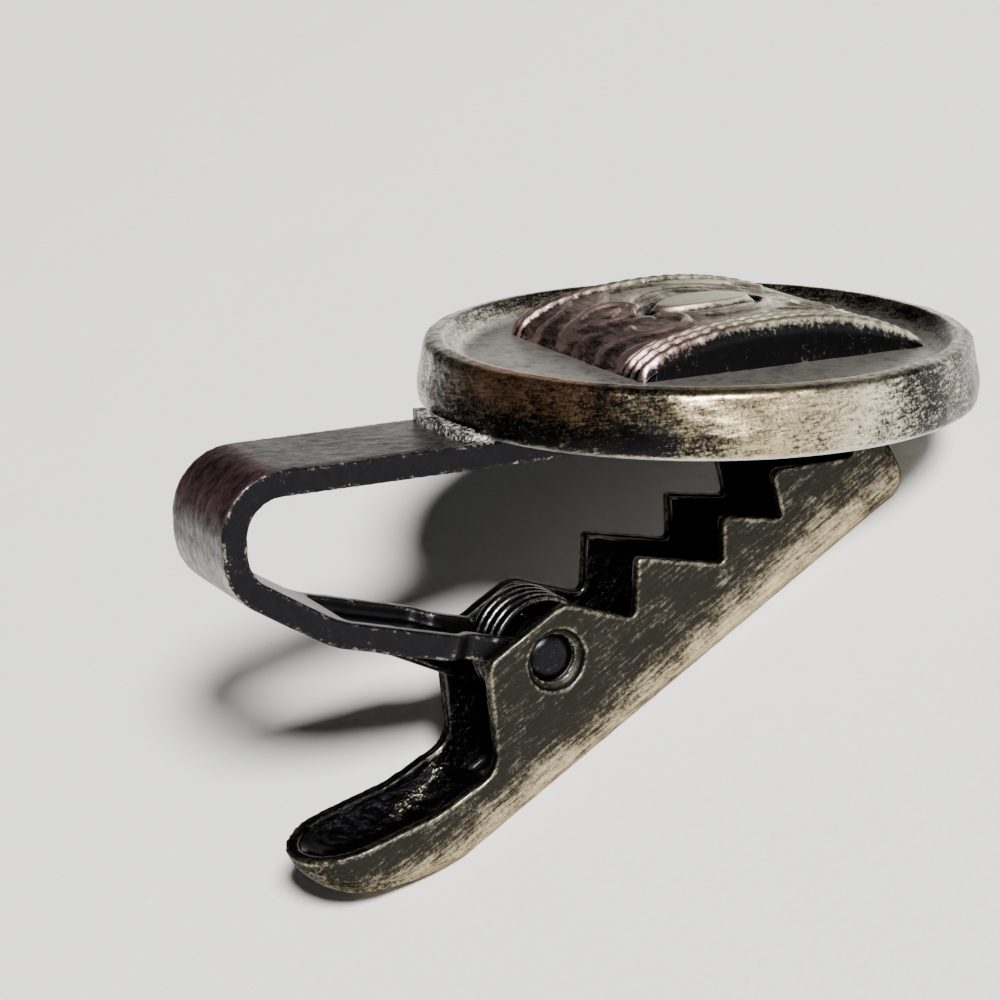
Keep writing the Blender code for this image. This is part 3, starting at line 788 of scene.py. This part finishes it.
def pad_surface(sizes, columns=300, rows=250):
    """A barrel vault with relief, its four walls rounded over and carried down into the dish.

    Along the disc the vault is half an ellipse, whose right side falls sooner: its height is the
    rise times 1 - share squared, to the power 0.42 on the left and 0.7 on the right. Past each edge the
    grid turns down a small quarter round and then runs straight down to the pad's hidden bottom.
    Corners that would reach past the dish sink out of sight under the rim.
    """
    left, right = sizes.pad_left / MM, sizes.pad_right / MM
    near, far = sizes.pad_near / MM, sizes.pad_far / MM
    edge, crown = sizes.pad_edge / MM, sizes.pad_crown / MM
    chord, rise = (right - left) / 2, crown - edge
    middle = (left + right) / 2
    boss_u, boss_y = sizes.boss_u / MM, sizes.boss_y / MM
    fillet, bottom = sizes.fillet / MM, -sizes.height / MM + 0.8

    def across(low, high, count):
        """Places from low to high, how far each drops in the end rounds, and where it is wall."""
        bend = np.linspace(0, math.pi / 2, 6)[1:]
        out, drop = fillet * np.sin(bend), fillet * (1 - np.cos(bend))
        flat = np.linspace(low + fillet, high - fillet, count)
        wall = np.linspace(0.15, 1, 5)
        places = [np.full(5, low), (low + fillet - out)[::-1], flat, high - fillet + out, np.full(5, high)]
        drops = [np.full(5, fillet), drop[::-1], 0 * flat, drop, np.full(5, fillet)]
        walls = [wall[::-1], 0 * out, 0 * flat, 0 * out, wall]
        return tuple(np.concatenate(part) for part in (places, drops, walls))

    u, drop_u, wall_u = (part[:, None] for part in across(left, right, columns))
    y, drop_y, wall_y = (part[None, :] for part in across(near, far, rows))
    share = np.clip((u - middle) / chord, -1, 1)
    vault = edge + rise * (1 - share**2) ** np.where(share < 0, 0.42, 0.7)
    height = vault + 0 * y
    relief = pad_relief(u - boss_u + 0 * y, y - boss_y + 0 * u, near - boss_y, far - boss_y)
    wall = np.maximum(wall_u + 0 * y, wall_y + 0 * u)
    past_dish = smoothstep(10.0, 10.4, np.hypot(u, y))
    height = height + sizes.relief / MM * 0.5 * (relief - 0.6) * (wall == 0)
    height = height - drop_u - drop_y - 1.6 * past_dish
    height = np.maximum(height, bottom) * (1 - wall) + bottom * wall
    points = np.stack([u + 0 * y, y + 0 * u, height], axis=-1)
    faces = grid_faces(*height.shape).tolist()
    index = np.arange(height.size).reshape(height.shape)
    faces.append(np.concatenate([index[:-1, 0], index[-1, :-1], index[:0:-1, -1], index[0, :0:-1]]).tolist())
    side = np.maximum((wall > 0) * 1.0, np.maximum(drop_u, drop_y) / fillet)
    return points, faces, np.where(side > 0.6, 0.15, 0.5 + 0.5 * relief), side


def strap_solids(sizes):
    """The strap as overlapping solids: its strip along the loop, and its two ears.

    The strip is a slab carried along the arm, round the loop and down the lower arm. Its section
    sinks into a trough along the lower arm and narrows to the ears. An ear is a flat ring
    round the pin whose outer edge is the larger of a circle and the arm's end.
    """
    slope, half, thick = sizes.slope, sizes.half_width / MM, sizes.thickness / MM
    loop, arm, reach = sizes.loop_u / MM, sizes.arm_w / MM, sizes.lower_arm / MM
    knee = (-reach * math.cos(slope), reach * math.sin(slope))
    ear_outer, ear_inner = sizes.ear_outer / MM, sizes.ear_inner / MM
    corners = [(sizes.arm_end / MM, arm, 0), (loop - 0.05, arm, 2.1)]
    corners += [(loop, sizes.loop_low_w / MM, 2.2), (*knee, 5.0), (0, 0, 0)]
    path = resampled(rounded_path(corners), 0.15)
    left = np.linalg.norm(path, axis=1)
    lower = np.arange(len(path)) > len(path) * 0.6
    from_pin = np.where(lower, left, 99.0)
    path, from_pin = path[from_pin > STRIP_END], from_pin[from_pin > STRIP_END]
    depth = sizes.trough_depth / MM * smoothstep(sizes.trough / MM, sizes.trough / MM - 0.9, from_pin)
    outer = half - (half - ear_outer) * smoothstep(5.2, 3.9, from_pin)
    inner = FLANGE_INSIDE - (FLANGE_INSIDE - ear_inner) * smoothstep(5.0, 4.0, from_pin)
    top, low = thick / 2, -thick / 2
    zero = 0 * outer
    # The strip's normal points into the loop all the way round, so the trough is in its positive side.
    outline = [(-outer, low), (outer, low), (outer, top), (inner, top), (inner, top - depth)]
    outline += [(-inner, top - depth), (-inner, top), (-outer, top)]
    sections = np.stack([np.stack([side, zero + up], axis=1) for side, up in outline], axis=1)
    strip = carried(path, sections)
    turn = np.linspace(0, math.tau, 720, endpoint=False)
    arm_turn = turn - (math.pi - slope)
    with np.errstate(divide="ignore"):
        end_edge = EAR_REACH / np.maximum(np.cos(arm_turn), 1e-6)
        strip_edge = np.minimum(end_edge, thick / 2 / np.abs(np.sin(arm_turn)))
    reach_out = np.maximum(sizes.ear_radius / MM, np.where(np.cos(arm_turn) > 0, strip_edge, 0))
    hole = sizes.hole_radius / MM
    ears = []
    for low_y, high_y in ((-ear_outer, -ear_inner), (ear_inner, ear_outer)):
        ring = [(hole, low_y), (reach_out, low_y), (reach_out, high_y), (hole, high_y)]
        points = np.stack(
            [np.stack([r * np.cos(turn), y + 0 * turn, r * np.sin(turn)], axis=1) for r, y in ring], axis=1
        )
        ears.append((points, grid_faces(len(turn), 4, wrap_rows=True, wrap_columns=True)))
    return joined(strip, *ears)


def underside(x, sizes):
    """Height of the jaw's underside: 0 along the spine, then up a circle of the lever's radius."""
    radius = sizes.lever_radius / MM
    past = np.minimum(x - sizes.lever_start / MM, 0)
    return radius - np.sqrt(np.maximum(radius**2 - past**2, 0))


def bowl(places, across, under, sizes):
    """Height of the bowl in the lever.

    The lever's lip is a hyperbola: lowest at one place, it turns over the lip's round and rises
    evenly from there. The bowl's floor is its depth below the lip, and no lower than the sheet. A
    line 0.6 mm nearer than the middle is the lowest. From it the bowl rises with the square of
    the distance, and meets the lip 1.5 mm away on the near side and 2.7 mm away elsewhere.
    """
    x, turn = places[:, 0] - PIN[0], sizes.lip_round / MM
    lip = sizes.lip_height / MM + sizes.lip_rise * (np.hypot(x - sizes.lip_place / MM, turn) - turn)
    floor = np.maximum(under + sizes.bowl_floor / MM, lip - sizes.bowl_depth / MM)
    floor += 0.05 * ripples(places, 1.1, 41)
    lean = 0.6 + np.where(x > sizes.tail_middle / MM, places[:, 1], across)
    share = np.clip(np.where(lean > 0, lean / 2.7, -lean / 1.5), 0, 1)
    return floor + (lip - 0.1 - floor) * share**2


def spring_path(hinge, strap):
    """The wire's centreline: a leg down to the spine, the coil, and a leg out under the lower arm.

    The coil is a helix round the pin, and each leg is a straight line that touches it.
    """
    radius, wire = hinge.coil_radius / MM, hinge.wire_radius / MM
    arm_angle = math.pi - strap.tilt - strap.slope
    along = np.array([math.cos(arm_angle), math.sin(arm_angle)])
    drop = strap.thickness / MM / 2 + wire + 0.03
    strap_end = along * hinge.strap_leg / MM + np.array([-along[1], along[0]]) * drop
    jaw_end = np.array([hinge.jaw_leg_x, hinge.jaw_leg_z]) / MM

    def touching(place, side):
        return math.atan2(place[1], place[0]) + side * math.acos(radius / np.linalg.norm(place))

    start = touching(jaw_end, -1) % math.tau
    end = touching(strap_end, 1) % math.tau - math.tau * hinge.turns
    turn = np.linspace(start, end, 420)
    span = hinge.coil_half_span / MM
    coil = np.stack([radius * np.cos(turn), np.linspace(-span, span, 420), radius * np.sin(turn)], axis=1)
    share = np.linspace(0, 1, 30)[:-1, None]
    first, last = np.array([jaw_end[0], -span, jaw_end[1]]), np.array([strap_end[0], span, strap_end[1]])
    legs = first + (coil[0] - first) * share, last + (coil[-1] - last) * share
    return np.concatenate([legs[0], coil, legs[1][::-1]]) + PIN


# Operators


class MakeConcho(bpy.types.Operator):
    """Turn the concho's disc and set its ornamented pad in the dish"""

    bl_idname = "concho_clip.make_concho"
    bl_label = "Make concho"

    def execute(self, context):
        scene = context.scene
        sizes, finish, tilt = scene.clip_concho, scene.clip_finish, scene.clip_strap.tilt
        place = np.array([sizes.centre_u, 0, sizes.ridge_w]) / MM
        points, faces = concho_surface(sizes)
        disc = made_mesh("concho_disc", in_row_frame(points + place, tilt), faces)
        store(disc, **rim_marks(points))
        weld(disc)
        keep(disc, STRAP_BODY, "concho", concho_material(finish))
        points, faces, raised, wall = pad_surface(sizes)
        pad = made_mesh("concho_pad", in_row_frame(points + place, tilt), faces)
        store(pad, raised=raised, wall=wall, tarnish=0.75 * smoothstep(1.0, -3.5, points[..., 0]))
        keep(pad, STRAP_BODY, None, pad_material(finish))
        return {"FINISHED"}


class MakeStrap(bpy.types.Operator):
    """Bend the strap round its loop, with its trough and ears.

    Its side value is 1 on the cut edges, inside the loop and on the lower arm, where the plate
    is black. The loop is tarnished round the top of its bend.
    """

    bl_idname = "concho_clip.make_strap"
    bl_label = "Make strap"

    def execute(self, context):
        scene = context.scene
        sizes = scene.clip_strap
        points, faces = strap_solids(sizes)
        strap, places, normals = forged(
            "strap_band", in_row_frame(points, sizes.tilt), faces, scene.clip_jaw.grain, 4, 0.004
        )
        u, w = in_strap_frame(places - PIN, sizes.tilt)
        normal_u, normal_w = in_strap_frame(normals, sizes.tilt)
        out = unit(np.stack([u - LOOP_MIDDLE[0], w - LOOP_MIDDLE[1]], axis=1))
        facing_out = normal_u * out[:, 0] + normal_w * out[:, 1]
        inner = smoothstep(0.1, -0.3, facing_out) * (u < -3) + (u >= -3) * (normal_w < -0.5)
        lower = 1 - smoothstep(4.0, 6.0, w)
        edge = smoothstep(0.45, 0.75, np.abs(normals[:, 1]))
        side = np.maximum(edge, np.maximum(lower, np.clip(inner, 0, 1)))
        tarnish = 0.85 * smoothstep(2.6, 1.0, np.hypot(u - TARNISH_MIDDLE[0], w - TARNISH_MIDDLE[1]))
        store(strap, side=side, tarnish=tarnish)
        keep(strap, STRAP_BODY, "strap", strap_material(scene.clip_finish))
        return {"FINISHED"}


class MakeJaw(bpy.types.Operator):
    """Wear the folded jaw's edges round, dish a bowl into its lever and rub its spine bare.

    Its values follow from the height over the underside and the distance from the jaw's middle
    line, which goes round the tail. Inside the channel and the bowl the plate is glossy, and a
    painted highlight, bare silver that stands for sparkle, runs along one slanting line in the
    bowl. The spine's bends are rubbed, least at the tail and the nose.
    """

    bl_idname = "concho_clip.make_jaw"
    bl_label = "Make jaw"

    def execute(self, context):
        scene = context.scene
        sizes = scene.clip_jaw
        points, faces = merged_triangles(frame["nodes"]["jaw"].data)
        jaw, places, normals = forged("jaw_sheet", points, faces, sizes.grain, 5, 0.006)
        x, y = places[:, 0] - PIN[0], places[:, 1]
        across = np.hypot(y, np.minimum(x - sizes.tail_middle / MM, 0))
        under = underside(x, sizes)
        hollow = smoothstep(2.2, 2.08, across) * smoothstep(-4.6, -6.2, x) * (places[:, 2] > under + 0.45)
        places[:, 2] += np.maximum(bowl(places, across, under, sizes) - places[:, 2], 0) * hollow
        jaw.data.vertices.foreach_set("co", (places * MM).astype(np.float32).ravel())
        jaw.data.update()
        over = places[:, 2] - under
        inside = smoothstep(0.45, 0.7, over) * smoothstep(2.25, 2.05, across) * smoothstep(18.35, 18.15, x)
        # A painted highlight: bare silver along a slanting line on the bowl's far side, from -9.3 to -5.8 mm
        # along x.
        glint_y = np.interp(x, (-9.3, -5.8), (0.9, 1.75))
        glint = np.exp(-(((y - glint_y) / 0.4) ** 2)) * smoothstep(-9.8, -8.5, x) * smoothstep(-4.6, -5.6, x)
        rub = smoothstep(2.4, 0.4, over) + 0.35 * smoothstep(4, 15, x) * smoothstep(4.0, 1.0, over)
        rub *= 1 - 0.5 * smoothstep(-9.5, -12.5, x) - 0.5 * smoothstep(13.0, 17.5, x)
        store(jaw, rub=np.clip(rub, 0, 1) * (1 - inside), inside=inside, glint=glint * inside)
        keep(jaw, JAW_BODY, "jaw", jaw_material(scene.clip_finish))
        return {"FINISHED"}


class MakeHinge(bpy.types.Operator):
    """Turn the hinge pin and wind the torsion spring round it"""

    bl_idname = "concho_clip.make_hinge"
    bl_label = "Make hinge"

    def execute(self, context):
        scene = context.scene
        hinge, finish = scene.clip_hinge, scene.clip_finish
        radius, half = hinge.pin_radius / MM, hinge.pin_half_length / MM
        corners = [(0, half + 0.03, 0), (radius - 0.3, half, 0.6), (radius, half - 0.18, 0.12)]
        corners += [(radius, -half + 0.18, 0.12), (radius - 0.3, -half, 0.6), (0, -half - 0.03, 0)]
        section = resampled(rounded_path(corners), 0.08)
        turn = np.linspace(0, math.tau, 96, endpoint=False)
        points = np.stack(
            [section[:, :1] * np.cos(turn), section[:, 1:] + 0 * turn, section[:, :1] * np.sin(turn)], axis=-1
        )
        points[..., 1] += 0.012 * ripples(points, 0.7, 31)
        pin = made_mesh("pin_rod", points + PIN, grid_faces(len(section), 96, wrap_columns=True), merge=1e-4)
        keep(pin, JAW_BODY, "hinge_pin", steel_material(finish, "pin_steel", 0.1, 0.3))
        points, faces = tube(spring_path(hinge, scene.clip_strap), hinge.wire_radius / MM)
        spring = made_mesh("spring_wire", points, faces, merge=1e-4)
        keep(spring, None, "torsion_spring", steel_material(finish, "spring_steel", 0.3, 0.22))
        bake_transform(spring)
        return {"FINISHED"}


class MakeSolder(bpy.types.Operator):
    """Run a lumpy bead of solder along the concho's edge and down the strap.

    The bead is a tube along an arc of the disc's edge and a straight spill past the strap's
    corner. Random waves lift and swell it, and it thins along the spill.
    """

    bl_idname = "concho_clip.make_solder"
    bl_label = "Make solder"

    def execute(self, context):
        scene = context.scene
        sizes, finish = scene.clip_concho, scene.clip_finish
        centre, radius = sizes.centre_u / MM, sizes.radius / MM + 0.12
        turn = np.radians(np.linspace(180 - 10.5, 180 + 11.6, 90))
        arc = np.stack([centre + radius * np.cos(turn), radius * np.sin(turn)], axis=1)
        spill = arc[-1] + (np.array([3.2, -2.72]) - arc[-1]) * np.linspace(0, 1, 110)[1:, None]
        flat = np.concatenate([arc, spill])
        top = (scene.clip_strap.arm_w + scene.clip_strap.thickness / 2) / MM
        path = np.stack([flat[:, 0], flat[:, 1], np.full(len(flat), top + 0.1)], axis=1)
        path[:, 2] += 0.05 * ripples(path, 0.9, 21)
        path[:, 1] += 0.06 * ripples(path, 0.7, 22)
        thin = 1 - 0.6 * smoothstep(90, 199, np.arange(len(path)))
        radii = (0.22 + 0.07 * ripples(path, 0.5, 23)) * thin
        points, faces = tube(path, np.maximum(radii, 0.06), sides=20)
        points = points + 0.035 * ripples(points, 0.28, 24)[..., None]
        bead = made_mesh("solder_bead", in_row_frame(points, scene.clip_strap.tilt), faces, merge=1e-4)
        crust = solder_material(finish)
        keep(bead, STRAP_BODY, None, crust)
        layer = frame["nodes"]["solder_joint"]
        layer.data.materials.clear()
        layer.data.materials.append(crust)
        return {"FINISHED"}


class MakeStage(bpy.types.Operator):
    """Lay the paper floor and set the lamp, the sky and the camera"""

    bl_idname = "concho_clip.make_stage"
    bl_label = "Make stage"

    def execute(self, context):
        scene = context.scene
        stage = scene.clip_stage
        half = stage.floor_size / MM / 2
        corners = [(-half, -half, 0), (half, -half, 0), (half, half, 0), (-half, half, 0)]
        floor = made_mesh("floor", corners, [(0, 1, 2, 3)])
        floor.data.materials.append(paper_material(scene.clip_finish))
        toward = Vector(stage.lamp_toward).normalized()
        lamp = bpy.data.lights.new("lamp", "AREA")
        lamp.shape = "DISK"
        lamp.size = stage.lamp_size
        lamp.energy = stage.lamp_power
        lamp.color = (1.0, 0.985, 0.95)
        lamp_object = bpy.data.objects.new("lamp", lamp)
        lamp_object.location = toward * stage.lamp_distance
        lamp_object.rotation_euler = toward.to_track_quat("Z", "Y").to_euler()
        scene.collection.objects.link(lamp_object)
        scene.world = soft_sky(stage)
        camera = bpy.data.cameras.new("camera")
        camera.lens = stage.lens
        camera.clip_start, camera.clip_end = 0.005, 10
        camera_object = bpy.data.objects.new("camera", camera)
        camera_object.location = Vector(PIN) * MM + Vector((stage.camera_x, stage.camera_y, stage.camera_z))
        sight = Vector(stage.camera_sight).normalized()
        camera_object.rotation_mode = "QUATERNION"
        level = sight.to_track_quat("-Z", "Y")
        camera_object.rotation_quaternion = level @ Quaternion((0, 0, 1), -stage.camera_roll)
        scene.collection.objects.link(camera_object)
        scene.camera = camera_object
        return {"FINISHED"}


def paper_material(finish):
    """Off-white paper with a faint tooth and cloudy shade."""
    made, tree, shader = metal("paper")
    shader.inputs["Metallic"].default_value = 0.0
    shader.inputs["Roughness"].default_value = 0.9
    shader.inputs["Specular IOR Level"].default_value = 0.1
    place = millimetres(tree)
    cloud = noise(tree, place, 0.12, 3.0)
    tooth = noise(tree, place, 1.6, 4.0, 0.6)
    pale = tuple(finish.paper)
    darker = tuple(0.95 * channel for channel in pale[:3]) + (1,)
    tree.links.new(blended(tree, cloud, darker, pale), shader.inputs["Base Color"])
    relief = node(tree, "ShaderNodeBump", {"Height": tooth, "Strength": 0.5, "Distance": 0.05 * MM})
    tree.links.new(relief.outputs["Normal"], shader.inputs["Normal"])
    return made


def soft_sky(stage):
    """A plain sky, pale at the horizon and darker overhead."""
    sky = bpy.data.worlds.new("soft_sky")
    sky.use_nodes = True
    tree = sky.node_tree
    place = node(tree, "ShaderNodeTexCoord").outputs["Generated"]
    height = node(tree, "ShaderNodeSeparateXYZ", {"Vector": place}).outputs["Z"]
    share = between(tree, height, 0.0, 0.4)
    colour = blended(tree, share, tuple(stage.sky_low), tuple(stage.sky_high))
    tree.links.new(colour, tree.nodes["Background"].inputs["Color"])
    return sky


class ConchoClipPanel(bpy.types.Panel):
    """Lists the pieces and their sizes"""

    bl_idname = "VIEW3D_PT_concho_clip"
    bl_label = "Concho Clip"
    bl_space_type = "VIEW_3D"
    bl_region_type = "UI"
    bl_category = "Concho Clip"

    def draw(self, context):
        for operator in OPERATORS:
            self.layout.operator(operator.bl_idname)
        for name in SETTINGS:
            box = self.layout.box()
            for size in getattr(context.scene, name).bl_rna.properties:
                if size.identifier not in ("rna_type", "name"):
                    box.prop(getattr(context.scene, name), size.identifier)


SETTINGS = {
    "clip_concho": ConchoSettings,
    "clip_strap": StrapSettings,
    "clip_jaw": JawSettings,
    "clip_hinge": HingeSettings,
    "clip_finish": FinishSettings,
    "clip_stage": StageSettings,
}
OPERATORS = (MakeConcho, MakeStrap, MakeJaw, MakeHinge, MakeSolder, MakeStage)


def register():
    for kind in (*SETTINGS.values(), *OPERATORS, ConchoClipPanel):
        bpy.utils.register_class(kind)
    for name, kind in SETTINGS.items():
        setattr(bpy.types.Scene, name, bpy.props.PointerProperty(type=kind))


def unregister():
    for name in SETTINGS:
        delattr(bpy.types.Scene, name)
    for kind in (ConchoClipPanel, *reversed(OPERATORS), *reversed(SETTINGS.values())):
        bpy.utils.unregister_class(kind)


def main():
    register()
    bpy.ops.concho_clip.make_concho()
    bpy.ops.concho_clip.make_strap()
    bpy.ops.concho_clip.make_jaw()
    bpy.ops.concho_clip.make_hinge()
    bpy.ops.concho_clip.make_solder()
    bpy.ops.concho_clip.make_stage()


if __name__ == "__main__":
    main()
